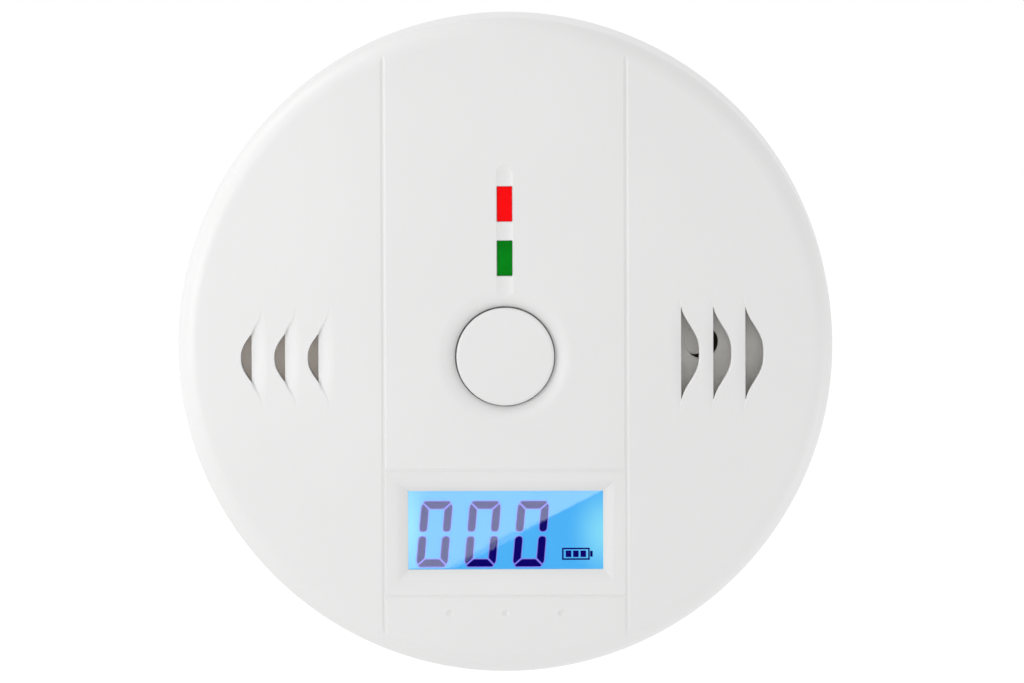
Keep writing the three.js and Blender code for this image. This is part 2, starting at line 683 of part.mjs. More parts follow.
function displayGroup() {
  const group = new THREE.Group();
  const backlight = span(BACKLIGHT.width, BACKLIGHT.bottom, BACKLIGHT.top, BACKLIGHT.back, GLASS.back - FIT);
  const glass = span(GLASS.width, GLASS.bottom, GLASS.top, GLASS.back, GLASS.front);
  const window = span(33, -35.6, -19.8, GLASS.front + FIT, COVER_INSIDE - FIT);
  const strip = span(ZEBRA.width, ZEBRA.bottom, ZEBRA.top, MOUNTED, GLASS.back - FIT);
  group.add(piece("lcd_holder", displayHolder(), whiteFrame));
  group.add(piece("lcd_backlight", backlight, displayBlue));
  group.add(piece("zebra_strip", strip, darkRubber));
  group.add(piece("lcd_glass", glass, displayBlue));
  group.add(piece("lcd_window", window, clear));
  return group;
}

function batteryGroup() {
  const group = new THREE.Group();
  const end = contactMiddle();
  const between = CELL.pitch / 2;
  [-1, 0, 1].forEach((column, index) => {
    const mesh = place(piece(`battery_${index + 1}`, cell(), cellWrap), column * CELL.pitch, 0, CELL.z);
    if (column === 0) mesh.rotation.z = Math.PI;
    group.add(mesh);
  });
  const wide = between + CONTACT.halfWidth;
  const upper = contact(wide, between, null);
  const lower = contact(wide, -between, null);
  const positive = contact(CONTACT.halfWidth, null, 0);
  const negative = contact(CONTACT.halfWidth, 0, 0);
  group.add(place(piece("contact_bridge_upper", upper, metal), -between, end));
  group.add(place(piece("contact_positive_end", positive, metal), CELL.pitch, end));
  const lowerMesh = place(piece("contact_bridge_lower", lower, metal), between, -end);
  const negativeMesh = place(piece("contact_negative_end", negative, metal), -CELL.pitch, -end);
  [lowerMesh, negativeMesh].forEach((mesh) => {
    mesh.rotation.z = Math.PI;
    group.add(mesh);
  });
  return group;
}

function leadGroup() {
  const group = new THREE.Group();
  const tail = contactMiddle();
  const red = lead([[CELL.pitch, tail - 1.3, 22], [12, 20, 21.6], [5, 15, 21.5], [3, 8, 22], [3, 6.5, 23.4]]);
  const black = lead([[-CELL.pitch, 1.3 - tail, 22], [-12, -19, 21.6], [-5, -8, 21.5], [-3, 4, 22],
    [-3, 5.5, 23.4]]);
  group.add(piece("battery_lead_red", red, redLead));
  group.add(piece("battery_lead_black", black, blackLead));
  return group;
}

function caseGroup() {
  const group = new THREE.Group();
  group.add(piece("rear_housing", rearHousing(), whiteCase));
  group.add(piece("front_cover", frontCover(), whiteCase));
  CASE_SCREW.angles.forEach((angle, index) => {
    const mesh = piece(`case_screw_${index + 1}`, caseScrew(), metal);
    group.add(place(mesh, ...polar(CASE_SCREW.radius, angle)));
  });
  return group;
}

const detector = new THREE.Group();
detector.add(piece("mounting_plate", mountingPlate(), whitePlate));
detector.add(caseGroup(), buttonGroup(), boardGroup(), displayGroup(), batteryGroup(), leadGroup());

const group = new THREE.Group();
detector.rotation.x = Math.PI / 2;
group.add(detector);

export default group;
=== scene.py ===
"""Looks of the round carbon monoxide detector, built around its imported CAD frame.

Face coordinates are used throughout: x to the right, z up, and h out from the wall, in millimetres.
"""
import json
import math

import bmesh
import bpy
from mathutils import Matrix, Vector


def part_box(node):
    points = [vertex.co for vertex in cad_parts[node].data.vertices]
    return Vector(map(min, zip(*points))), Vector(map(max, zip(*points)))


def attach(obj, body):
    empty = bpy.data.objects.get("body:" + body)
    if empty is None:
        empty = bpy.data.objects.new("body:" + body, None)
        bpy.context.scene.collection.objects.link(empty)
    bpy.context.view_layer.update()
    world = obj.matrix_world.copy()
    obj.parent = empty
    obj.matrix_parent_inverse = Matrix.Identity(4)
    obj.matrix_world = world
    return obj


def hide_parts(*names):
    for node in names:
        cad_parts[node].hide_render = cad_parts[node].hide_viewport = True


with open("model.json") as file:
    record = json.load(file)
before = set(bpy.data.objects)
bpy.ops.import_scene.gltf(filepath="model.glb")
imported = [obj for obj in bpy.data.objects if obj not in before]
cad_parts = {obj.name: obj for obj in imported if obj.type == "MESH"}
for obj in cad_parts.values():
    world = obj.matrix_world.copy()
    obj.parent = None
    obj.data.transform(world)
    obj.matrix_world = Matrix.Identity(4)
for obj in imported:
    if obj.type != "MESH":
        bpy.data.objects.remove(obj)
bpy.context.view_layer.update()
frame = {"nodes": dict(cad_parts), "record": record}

MM = 0.001


def at(x, z, h):
    """A point in face coordinates as a point in the row frame, in metres."""
    return Vector((x * MM, -h * MM, z * MM))


def extent(node):
    """(lowest, highest) of a CAD node along x, z and h, in millimetres."""
    low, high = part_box(node)
    return (low.x / MM, high.x / MM), (low.z / MM, high.z / MM), (-high.y / MM, -low.y / MM)


def middle(pair):
    """Half way between two numbers."""
    return (pair[0] + pair[1]) / 2


# ---------------------------------------------------------------- driving dimensions, millimetres
FACE = extent("front_cover")[2][1]
REAR_RADIUS = extent("rear_housing")[0][1]
PLATE_RADIUS = extent("mounting_plate")[0][1]
HOUSING_BACK = extent("rear_housing")[2][0]
SEAM = 18
FIT = 0.3
SEAM_RADIUS = 49.8
FACE_RADIUS = 49.5
EDGE_ROUND = 3.1
WALL = 2
COVER_INNER = 47.2
COVER_INSIDE = FACE - WALL
THROUGH = COVER_INSIDE - 3
PROUD = 0.4  # how far cutters stand above the face
SMALLEST_ROUND = 0.04
SIDES = 256

PANEL_HALF = 18.35
PANEL_TOP, PANEL_BOTTOM = 49, -49
FRAME_TOP, FRAME_BOTTOM = -18.9, -37.95
WINDOW = {"z": -28.0, "width": 29.5, "height": 11.9}
SURROUND_DEPTH = 1.35
DIMPLE_PLACES = ((-8.45, -40.5), (0, -40.5), (8.45, -40.5))
BUTTON_Z = middle(extent("test_button")[1])
BUTTON_RADIUS = 7.4
HOLE_RADIUS = 7.56
BUTTON_PLAY = 0.04  # how far the button rests to the right of and below the middle of its hole
DISH = {"radius": 10.2, "depth": 1.1, "curve": 1.6}
LED_WIDTH, LED_LENGTH = 2.3, 5.3
LED_Z = {name: middle(extent(name)[1]) for name in ("alarm_led", "power_led")}
CHANNEL = {"radius": 3.2, "depth": 0.28, "bottom": BUTTON_Z + 4, "top": 26.2}

# Louvres: tip is where the first one reaches out to, mouth is its open width, amplitude, spread and
# power shape its curved edge, ramp and depth its sunk side, reach half its length, soft its rounded rim.
LEFT_VENT = {
    "side": -1, "z": -1.8, "tip": 29.8, "pitch": 5.05, "mouth": 1.6,
    "amplitude": 3.3, "spread": 4.34, "power": 2.4,
    "ramp": 2.6, "reach": 10, "depth": 0.9, "soft": 0.15,
}
RIGHT_VENT = {
    "side": 1, "z": -1.25, "tip": 29.3, "pitch": 4.85, "mouth": 2.7,
    "amplitude": 3, "spread": 5.08, "power": 2.7,
    "ramp": 1.7, "reach": 11, "depth": 0.5, "soft": 0.42,
}
LOUVRES = 3
PAD = {"back": 34.2, "height": 21, "outer_margin": 2, "inner_margin": 1}
SCREW_ANGLES = (30, 150, 270)
SCREW_RADIUS = 42
COVER_BOSS = {"radius": 3.2, "pilot_radius": 1.6, "pilot_top": 30}


# ---------------------------------------------------------------- mesh tools
def build(name, points, faces):
    """A mesh object from points in face coordinates, with its faces pointing out."""
    mesh = bpy.data.meshes.new(name)
    mesh.from_pydata([at(*point) for point in points], [], faces)
    shape = bmesh.new()
    shape.from_mesh(mesh)
    bmesh.ops.remove_doubles(shape, verts=shape.verts, dist=1e-7)
    bmesh.ops.recalc_face_normals(shape, faces=shape.faces)
    shape.to_mesh(mesh)
    shape.free()
    piece = bpy.data.objects.new(name, mesh)
    bpy.context.scene.collection.objects.link(piece)
    return piece


def lathe(name, profile, steps=SIDES, centre=(0, 0)):
    """A profile of (radius, h) turned about an outward axis. It closes on itself or ends on the axis."""
    on_axis = profile[0][0] == 0
    outline = [point for point in profile if point[0] > 0]
    points = []
    for radius, height in outline:
        for i in range(steps):
            angle = 2 * math.pi * i / steps
            across, up = radius * math.cos(angle), radius * math.sin(angle)
            points.append((centre[0] + across, centre[1] + up, height))
    faces = []
    rings = len(outline)
    last = rings - 1 if on_axis else rings
    for ring in range(last):
        for i in range(steps):
            j = (i + 1) % steps
            low, high = ring * steps, (ring + 1) % rings * steps
            faces.append((low + i, low + j, high + j, high + i))
    if on_axis:
        for ring, end in ((0, profile[0]), (rings - 1, profile[-1])):
            first = ring * steps
            if end[1] == outline[ring][1]:
                faces.append(tuple(range(first, first + steps)))
                continue
            pole = len(points)
            points.append((*centre, end[1]))
            faces.extend((first + i, first + (i + 1) % steps, pole) for i in range(steps))
    return build(name, points, faces)


def loft(name, sections):
    """A solid through closed sections that have the same number of points, with both ends closed."""
    count = len(sections[0])
    points = [point for section in sections for point in section]
    faces = [tuple(range(count)), tuple(range(len(points) - count, len(points)))]
    for k in range(len(sections) - 1):
        for i in range(count):
            j = (i + 1) % count
            faces.append((k * count + i, k * count + j, (k + 1) * count + j, (k + 1) * count + i))
    return build(name, points, faces)


def join(name, pieces):
    """Several mesh objects as one, each still a shell of its own."""
    shape = bmesh.new()
    for piece in pieces:
        shape.from_mesh(piece.data)
        bpy.data.objects.remove(piece)
    mesh = bpy.data.meshes.new(name)
    shape.to_mesh(mesh)
    shape.free()
    whole = bpy.data.objects.new(name, mesh)
    bpy.context.scene.collection.objects.link(whole)
    return whole


def boolean(base, tools, operation="DIFFERENCE"):
    """Cuts the tools from the base, or joins them to it. The tools are used up."""
    tool = join("tool", tools)
    modifier = base.modifiers.new("boolean", "BOOLEAN")
    modifier.operation = operation
    modifier.solver = "EXACT"
    modifier.object = tool
    graph = bpy.context.evaluated_depsgraph_get()
    mesh = bpy.data.meshes.new_from_object(base.evaluated_get(graph))
    base.modifiers.clear()
    base.data = mesh
    bpy.data.objects.remove(tool)
    return base


def tidy(piece, smooth_angle=28):
    """Merges coincident points, then shades smooth between the edges that are sharp."""
    shape = bmesh.new()
    shape.from_mesh(piece.data)
    bmesh.ops.remove_doubles(shape, verts=shape.verts, dist=2e-7)
    bmesh.ops.dissolve_degenerate(shape, edges=shape.edges, dist=1e-7)
    shape.to_mesh(piece.data)
    shape.free()
    piece.data.shade_smooth()
    piece.data.set_sharp_from_angle(angle=math.radians(smooth_angle))
    weighted = piece.modifiers.new("weighted_normals", "WEIGHTED_NORMAL")
    weighted.keep_sharp = True
    return piece


def arc(centre, radius, start, end, steps):
    """Points (radius, h) or (x, z) on an arc, from one angle to another in degrees."""
    points = []
    for i in range(steps + 1):
        angle = math.radians(start + (end - start) * i / steps)
        points.append((centre[0] + radius * math.cos(angle), centre[1] + radius * math.sin(angle)))
    return points


def rounded(x, z, width, height, radius, steps=6):
    """The outline of a rectangle with round corners, as (x, z) points."""
    points = []
    corners = ((1, 1, 0), (-1, 1, 90), (-1, -1, 180), (1, -1, 270))
    for right, up, turn in corners:
        corner = (x + right * (width / 2 - radius), z + up * (height / 2 - radius))
        points.extend(arc(corner, radius, turn, turn + 90, steps))
    return points


def upright(outline, *heights):
    """One section of an outline at each height."""
    return [[(x, z, h) for x, z in outline] for h in heights]


def polar(radius, degrees):
    """The (x, z) point at a radius and an angle about the axis of the case."""
    angle = math.radians(degrees)
    return radius * math.cos(angle), radius * math.sin(angle)


def softened(radius, height, up, size=0.3, dip=0.1):
    """Three points that soften a turned corner, from the wall to the end face; up is 1 at a front end."""
    return [(radius, height - up * size), (radius - dip, height - up * dip), (radius - size, height)]


def slab(name, outline, back, front, soft, steps=2):
    """A plate of an (x, z) outline, with a rounded front edge."""
    x0 = middle((min(p[0] for p in outline), max(p[0] for p in outline)))
    z0 = middle((min(p[1] for p in outline), max(p[1] for p in outline)))
    half_x = max(p[0] for p in outline) - x0
    half_z = max(p[1] for p in outline) - z0
    sections = upright(outline, back)
    for i in range(steps + 1):
        angle = math.pi / 2 * i / steps
        inset = soft * (1 - math.cos(angle))
        height = front - soft + soft * math.sin(angle)
        shrink_x, shrink_z = 1 - inset / half_x, 1 - inset / half_z
        sections.append([(x0 + (x - x0) * shrink_x, z0 + (z - z0) * shrink_z, height) for x, z in outline])
    return loft(name, sections)


# ---------------------------------------------------------------- materials
def shader(name, sockets):
    """A new material and its Principled shader, with constants set on the shader's own sockets."""
    material = bpy.data.materials.new(name)
    material.use_nodes = True
    principled = material.node_tree.nodes["Principled BSDF"]
    for socket, value in sockets.items():
        principled.inputs[socket].default_value = value
    return material, principled


def noise(material, scale, detail=3.0, stretch=(1, 1, 1)):
    """Noise in object coordinates: scale is in features per metre."""
    nodes, links = material.node_tree.nodes, material.node_tree.links
    place = nodes.new("ShaderNodeTexCoord")
    mapping = nodes.new("ShaderNodeMapping")
    mapping.inputs["Scale"].default_value = stretch
    texture = nodes.new("ShaderNodeTexNoise")
    texture.inputs["Scale"].default_value = scale
    texture.inputs["Detail"].default_value = detail
    links.new(place.outputs["Object"], mapping.inputs["Vector"])
    links.new(mapping.outputs["Vector"], texture.inputs["Vector"])
    return texture.outputs["Fac"]


def spread(material, factor, low, high):
    """Maps a 0.3 to 0.7 noise to the range low to high."""
    node = material.node_tree.nodes.new("ShaderNodeMapRange")
    node.inputs["From Min"].default_value = 0.3
    node.inputs["From Max"].default_value = 0.7
    node.inputs["To Min"].default_value = low
    node.inputs["To Max"].default_value = high
    material.node_tree.links.new(factor, node.inputs["Value"])
    return node.outputs["Result"]


def blend_colour(material, factor, first, second):
    """A mix of two colours by a factor from another node."""
    node = material.node_tree.nodes.new("ShaderNodeMix")
    node.data_type = "RGBA"
    node.inputs["A"].default_value = (*first, 1)
    node.inputs["B"].default_value = (*second, 1)
    material.node_tree.links.new(factor, node.inputs["Factor"])
    return node.outputs["Result"]


def finish(name, colour, roughness, tint=0.03, tint_scale=45, grain=4e-6, grain_scale=3200,
           rough_spread=0.05, stretch=(1, 1, 1), sockets=None):
    """A moulded, drawn or coated finish: soft colour drift, uneven gloss and a fine surface grain."""
    material, principled = shader(name, sockets or {})
    links = material.node_tree.links
    drift = noise(material, tint_scale)
    dark = tuple(channel * (1 - tint) for channel in colour)
    light = tuple(min(1, channel * (1 + tint)) for channel in colour)
    mixed = blend_colour(material, spread(material, drift, 0, 1), dark, light)
    links.new(mixed, principled.inputs["Base Color"])
    fine = noise(material, grain_scale, 4.0, stretch)
    links.new(spread(material, fine, roughness - rough_spread, roughness + rough_spread),
              principled.inputs["Roughness"])
    bump = material.node_tree.nodes.new("ShaderNodeBump")
    bump.inputs["Distance"].default_value = grain
    links.new(fine, bump.inputs["Height"])
    links.new(bump.outputs["Normal"], principled.inputs["Normal"])
    return material


WHITE = (0.65, 0.65, 0.647)
METAL = {"Metallic": 1.0}
COATED = {"Coat Weight": 0.4}
DULL = {"Specular IOR Level": 0.04}
FINISHES = {
    "case_white": finish("abs_case", WHITE, 0.42, tint=0.01),
    "plate_white": finish("abs_plate", (0.64, 0.64, 0.635), 0.48, tint=0.012),
    "button_white": finish("abs_button", WHITE, 0.40, tint=0.01),
    "black_plastic": finish("black_moulding", (0.018, 0.018, 0.02), 0.42, tint=0.15),
    "board_green": finish("solder_mask", (0.015, 0.16, 0.05), 0.3, tint=0.12, tint_scale=260,
                          stretch=(1, 1, 6), sockets=COATED),
    # The warm grey mouldings glow faintly from their emission: painted light that brightens them where they
    # sit in shade behind the louvres.
    "grey_plastic": finish("warm_grey_moulding_painted_glow", (0.80, 0.73, 0.66), 0.55, tint=0.06, tint_scale=350,
                           sockets={"Emission Color": (1, 0.92, 0.84, 1), "Emission Strength": 0.08}),
    "bright_metal": finish("nickel_plate", (0.72, 0.71, 0.69), 0.24, tint=0.05, tint_scale=500,
                           stretch=(1, 8, 1), sockets=METAL),
    "yellow_metal": finish("brass_and_copper", (0.72, 0.46, 0.16), 0.3, tint=0.1, tint_scale=400,
                           stretch=(8, 1, 1), sockets=METAL),
    "can_metal": finish("drawn_can", (0.70, 0.70, 0.71), 0.32, tint=0.05, tint_scale=400,
                        stretch=(1, 10, 1), sockets=METAL),
    "frame_white": finish("white_frame", (0.70, 0.70, 0.69), 0.5, tint=0.02),
    "strip_rubber": finish("layered_rubber", (0.09, 0.07, 0.06), 0.75, tint=0.5, tint_scale=900,
                           stretch=(30, 1, 1)),
    "cell_wrap": finish("cell_sleeve", (0.03, 0.055, 0.2), 0.28, tint=0.12, sockets=COATED),
    "lead_red": finish("red_insulation", (0.5, 0.012, 0.014), 0.45, tint=0.08),
    "lead_black": finish("black_insulation", (0.016, 0.016, 0.016), 0.45, tint=0.15),
    "red_lens": finish("red_epoxy", (0.72, 0.002, 0.003), 0.30, tint=0.05, tint_scale=500,
                       sockets={"Emission Color": (1, 0.002, 0.004, 1), "Emission Strength": 0.12, **DULL}),
    "green_lens": finish("green_epoxy", (0.0, 0.17, 0.006), 0.30, tint=0.15, tint_scale=500,
                         sockets={"Emission Color": (0, 0.3, 0.01, 1), "Emission Strength": 0.05, **DULL}),
    "window_clear": finish("clear_acrylic", (0.98, 0.99, 1.0), 0.007, tint=0.005, grain=4e-9,
                           rough_spread=0.003, sockets={"Transmission Weight": 1.0, "IOR": 1.49}),
}
# The sounder's grey glows faintly from its emission: painted light that brightens its shade behind the
# louvres.
SOUNDER_GREY_PAINTED_GLOW = finish("cool_grey_moulding_painted_glow", (0.60, 0.585, 0.555), 0.6, tint=0.08, tint_scale=300,
                      sockets={"Emission Color": (1, 0.96, 0.91, 1), "Emission Strength": 0.05})
# Brass darkened almost to black: painted shade that makes the sounder's disc read as the dark hollow behind
# its sound hole.
BRASS_DARKENED_AS_PAINTED_SHADE = finish("brass_darkened_as_painted_shade", (0.05, 0.035, 0.02), 0.55, tint=0.2, tint_scale=500,
                    sockets={"Metallic": 0.4})


def near(material, place, scale, reach):
    """1 at a point of the object's own space, fading to 0 at a reach from it, in metres."""
    nodes, links = material.node_tree.nodes, material.node_tree.links
    coordinates = nodes.new("ShaderNodeTexCoord")
    offset = nodes.new("ShaderNodeVectorMath")
    offset.operation = "SUBTRACT"
    offset.inputs[1].default_value = place
    stretch = nodes.new("ShaderNodeVectorMath")
    stretch.operation = "MULTIPLY"
    stretch.inputs[1].default_value = scale
    length = nodes.new("ShaderNodeVectorMath")
    length.operation = "LENGTH"
    links.new(coordinates.outputs["Object"], offset.inputs[0])
    links.new(offset.outputs["Vector"], stretch.inputs[0])
    links.new(stretch.outputs["Vector"], length.inputs[0])
    fade = nodes.new("ShaderNodeMapRange")
    fade.interpolation_type = "SMOOTHSTEP"
    fade.inputs["From Min"].default_value = reach
    fade.inputs["From Max"].default_value = 0
    links.new(length.outputs["Value"], fade.inputs["Value"])
    return fade.outputs["Result"]


# The two ends where the light guide is fed: a point of the glass as (x, z, h), how much its x, h and z
# distances count, and the reach of its glow. The left end's glow is LEFT_SHARE of the right one's.
RIGHT_FEED = {"place": (15.2, -28.4, 34.2), "weights": (1, 0, 0.75), "reach": 6.2}
LEFT_FEED = {"place": (-15.4, -27.6, 34.2), "weights": (1, 0, 0.35), "reach": 4.0}
LEFT_SHARE = 0.85


def feed_glow(material, feed):
    """The glow round one end of the light guide."""
    return near(material, at(*feed["place"]), feed["weights"], feed["reach"] * MM)


def display_material():
    """The lit liquid crystal: blue, and more cyan where the light guide is fed at its two ends."""
    material, principled = shader("lit_display", {"Roughness": 0.5, "Emission Strength": 1.0, **DULL})
    nodes, links = material.node_tree.nodes, material.node_tree.links
    right = feed_glow(material, RIGHT_FEED)
    left = feed_glow(material, LEFT_FEED)
    both = nodes.new("ShaderNodeMath")
    both.operation = "MULTIPLY_ADD"
    both.inputs[1].default_value = LEFT_SHARE
    links.new(left, both.inputs[0])
    links.new(right, both.inputs[2])
    glow = blend_colour(material, both.outputs["Value"], (0.075, 0.465, 0.97), (0.25, 0.77, 1.0))
    links.new(glow, principled.inputs["Emission Color"])
    cells = spread(material, noise(material, 2500), 0.0, 1.0)
    links.new(blend_colour(material, cells, (0.006, 0.02, 0.04), (0.01, 0.03, 0.05)),
              principled.inputs["Base Color"])
    return material


def ink_material(name, colour, glow):
    """Dark liquid crystal segments, slightly uneven where the light comes through."""
    sockets = {"Emission Color": (*glow, 1), "Emission Strength": 1.0, "Specular IOR Level": 0.0}
    return finish(name, colour, 0.5, tint=0.2, tint_scale=700, sockets=sockets)


FINISHES["display_light"] = display_material()
FINISHES["display_glass"] = FINISHES["display_light"]
INK = ink_material("segment_ink", (0.003, 0.0, 0.03), (0.0015, 0.0, 0.125))
HALO = ink_material("segment_halo", (0.05, 0.04, 0.1), (0.22, 0.19, 0.85))


def dress(piece, slot, body="detector", replaces=(), material=None):
    """Gives a finished piece its material, its body and the CAD nodes that it stands for."""
    piece.data.materials.clear()
    piece.data.materials.append(material or FINISHES[slot])
    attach(piece, body)
    if replaces:
        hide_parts(*replaces)
    return piece


# ---------------------------------------------------------------- front cover
def cover_shell():
    """The turned cup of the front cover: side wall, round edge and flat face."""
    lower = SEAM + FIT
    edge = arc((FACE_RADIUS - EDGE_ROUND, FACE - EDGE_ROUND), EDGE_ROUND, 0, 90, 24)
    inner_round = 1.4
    inner = arc((COVER_INNER - inner_round, COVER_INSIDE - inner_round), inner_round, 90, 0, 6)
    return lathe("case_front", [
        (0, FACE), *reversed(edge), *softened(SEAM_RADIUS, lower, -1),
        (COVER_INNER, lower), *reversed(inner), (0, COVER_INSIDE),
    ])


def vent_pad(vent):
    """The thick block behind the louvres."""
    outer = vent["tip"] + (LOUVRES - 1) * vent["pitch"] + PAD["outer_margin"]
    inner = vent["tip"] - vent["amplitude"] - PAD["inner_margin"]
    x = vent["side"] * middle((outer, inner))
    outline = rounded(x, vent["z"], outer - inner, PAD["height"], 0.5)
    return loft("pad", upright(outline, PAD["back"], COVER_INSIDE + 0.5))


def bell(vent, index, offset):
    """How far out the curved edge of a louvre lies, at an offset in z from the louvre's middle."""
    rise = math.exp(-((abs(offset) / vent["spread"]) ** vent["power"]))
    return vent["tip"] + index * vent["pitch"] - vent["amplitude"] * (1 - rise)


def louvre(vent, index):
    """The cutter of one louvre: a ramp that sinks outwards to a straight lip, then the open mouth."""
    lip = vent["tip"] + index * vent["pitch"] - vent["mouth"]
    start = lip - vent["ramp"]
    overlap, above = 0.1, 0.02  # how far the cutter starts before the ramp and over the face
    straight = 0.25  # the share of the ramp's fall that is even; the rest grows outwards
    reach = vent["reach"]
    cross = vent["spread"] * (-math.log(1 - vent["mouth"] / vent["amplitude"])) ** (1 / vent["power"])
    inside = cross * 0.995
    ends, across, columns = 14, 28, 8
    offsets = [-reach + (reach - cross) * i / ends for i in range(ends + 1)]
    offsets += [-inside + 2 * inside * i / across for i in range(across + 1)]
    offsets += [cross + (reach - cross) * i / ends for i in range(ends + 1)]
    sections = []
    for offset in offsets:
        edge = bell(vent, index, offset)
        fade = (1 - (offset / reach) ** 2) ** 2
        stop = min(edge, lip)
        deep = abs(offset) < cross - 1e-9
        ring = [(start - overlap, FACE + PROUD)]
        for k in range(columns + 1):
            out = start - overlap + (stop - start + overlap) * k / columns
            t = (out - start) / vent["ramp"]
            ring.append((out, FACE + above - vent["depth"] * fade * t * (straight + (1 - straight) * abs(t))))
        floor = ring[-1][1]
        ring.append((lip, THROUGH) if deep else ring[-1])
        ring.append((edge, THROUGH) if deep else ring[-1])
        soft = vent["soft"]
        if not deep:
            soft = max(SMALLEST_ROUND, min(2 * (FACE - floor), soft + 0.5 * (abs(offset) - cross)))
        ring += arc((edge + soft, FACE - soft), soft, 180 if deep else 125, 115, 4)
        shoulder = ring[-1][0] + (FACE + above - ring[-1][1]) / math.tan(math.radians(25))
        ring += [(shoulder, FACE + above), (shoulder, FACE + PROUD)]
        sections.append([(vent["side"] * out, vent["z"] + offset, h) for out, h in ring])
    return loft("louvre", sections)


def groove(x0, z0, x1, z1):
    """A fine V groove with a soft bottom between two points of the face."""
    # each point of the profile is (across the groove, above the face)
    profile = ((-0.5, 0.06), (-0.36, -0.03), (-0.1, -0.17), (0.1, -0.17), (0.36, -0.03), (0.5, 0.06))
    length = math.hypot(x1 - x0, z1 - z0)
    side = ((z1 - z0) / length, -(x1 - x0) / length)
    sections = []
    for x, z in ((x0, z0), (x1, z1)):
        sections.append([(x + side[0] * across, z + side[1] * across, FACE + up) for across, up in profile])
    return loft("groove", sections)


def window_frame():
    """The mitred surround that sinks from the panel lines to the display window."""
    top, bottom = WINDOW["z"] + WINDOW["height"] / 2, WINDOW["z"] - WINDOW["height"] / 2
    sections = []
    steps = 16
    for i in range(-1, steps + 1):
        t = i / steps
        half = PANEL_HALF + (WINDOW["width"] / 2 - PANEL_HALF) * t
        high, low = FRAME_TOP + (top - FRAME_TOP) * t, FRAME_BOTTOM + (bottom - FRAME_BOTTOM) * t
        depth = SURROUND_DEPTH * (t + max(0.0, t) ** 3) / 2
        sections.append([(-half, low, FACE - depth), (half, low, FACE - depth),
                         (half, high, FACE - depth), (-half, high, FACE - depth)])
    above = [(x, z, FACE + PROUD) for x, z, _ in sections[0]]
    below = [(x, z, THROUGH) for x, z, _ in sections[-1]]
    return loft("surround", [above, *sections, below])


def button_dish():
    """The button's hole and the shallow dish round it."""
    chamfer, runout = 0.1, 0.05
    profile = [(0, THROUGH), (HOLE_RADIUS, THROUGH), (HOLE_RADIUS, FACE - DISH["depth"] - chamfer)]
    first = HOLE_RADIUS + chamfer
    steps = 16
    for i in range(steps + 2):
        t = i / steps
        rest = 1 - t
        depth = DISH["depth"] * (max(0.0, rest) ** DISH["curve"] - runout * max(0.0, -rest))
        profile.append((first + (DISH["radius"] - first) * t, FACE - depth))
    profile += [(profile[-1][0], FACE + PROUD), (0, FACE + PROUD)]
    return lathe("dish", profile, 128, (0, BUTTON_Z))


def light_channel():
    """The shallow round-bottomed channel that both lights stand in."""
    radius = CHANNEL["radius"]
    height = FACE + radius - CHANNEL["depth"]
    steps = 48
    levels = [(CHANNEL["bottom"], radius)]
    levels += [(CHANNEL["top"] + radius * math.sin(math.radians(a)), radius * math.cos(math.radians(a)))
               for a in range(0, 86, 5)]
    sections = []
    for z, r in levels:
        ring = [(x, z, h) for x, h in arc((0, height), r, 0, 360 - 360 / steps, steps - 1)]
        sections.append(ring)
    return loft("channel", sections)


def light_slot(z):
    """A through slot for one light, with softened edges."""
    gap = 0.03
    width, length = LED_WIDTH + gap, LED_LENGTH + gap
    rim = FACE - CHANNEL["depth"]
    sections = []
    for grow, corner, height in ((0, 0.15, THROUGH), (0, 0.15, rim - 0.1), (0.16, 0.2, rim + 0.02),
                                 (0.3, 0.25, FACE + PROUD)):
        sections += upright(rounded(0, z, width + grow, length + grow, corner, 4), height)
    return loft("slot", sections)


def dimple(x, z):
    """A ball that dips a little into the face."""
    radius, dip = 1.0, 0.2
    middle_height = FACE + radius - dip
    ball = arc((0, middle_height), radius, -84, 84, 20)
    return lathe("dimple", [(0, FACE - dip), *ball, (0, middle_height + radius)], 32, (x, z))


def front_cover():
    """The whole front cover, cut in a few steps so that no two cutters share a face."""
    cover = cover_shell()
    boss, low_end, boss_top = COVER_BOSS["radius"], SEAM - 0.2, COVER_INSIDE + 0.5
    bosses = [lathe("boss", [(0, low_end), (boss, low_end), (boss, boss_top), (0, boss_top)],
                    48, polar(SCREW_RADIUS, angle)) for angle in SCREW_ANGLES]
    boolean(cover, [*bosses, vent_pad(LEFT_VENT), vent_pad(RIGHT_VENT)], "UNION")
    pilot, top = COVER_BOSS["pilot_radius"], COVER_BOSS["pilot_top"]
    pilots = [lathe("pilot", [(0, SEAM - 1), (pilot, SEAM - 1), (pilot, top), (0, top)],
                    32, polar(SCREW_RADIUS, angle)) for angle in SCREW_ANGLES]
    louvres = [louvre(vent, index) for vent in (LEFT_VENT, RIGHT_VENT) for index in range(LOUVRES)]
    sides = [groove(side * PANEL_HALF, PANEL_BOTTOM, side * PANEL_HALF, PANEL_TOP) for side in (-1, 1)]
    dimples = [dimple(x, z) for x, z in DIMPLE_PLACES]
    boolean(cover, [*pilots, *louvres, *sides, *dimples, button_dish()])
    across = [groove(-PANEL_HALF, z, PANEL_HALF, z) for z in (FRAME_TOP, FRAME_BOTTOM)]
    boolean(cover, [*across, light_channel()])
    boolean(cover, [window_frame(), *[light_slot(z) for z in LED_Z.values()]])
    return dress(tidy(cover), "case_white", replaces=["front_cover"])


# ---------------------------------------------------------------- button
STEM_RADIUS = 1.8
FLANGE = {"radius": 8.6, "back": 34.6, "front": 35.5}


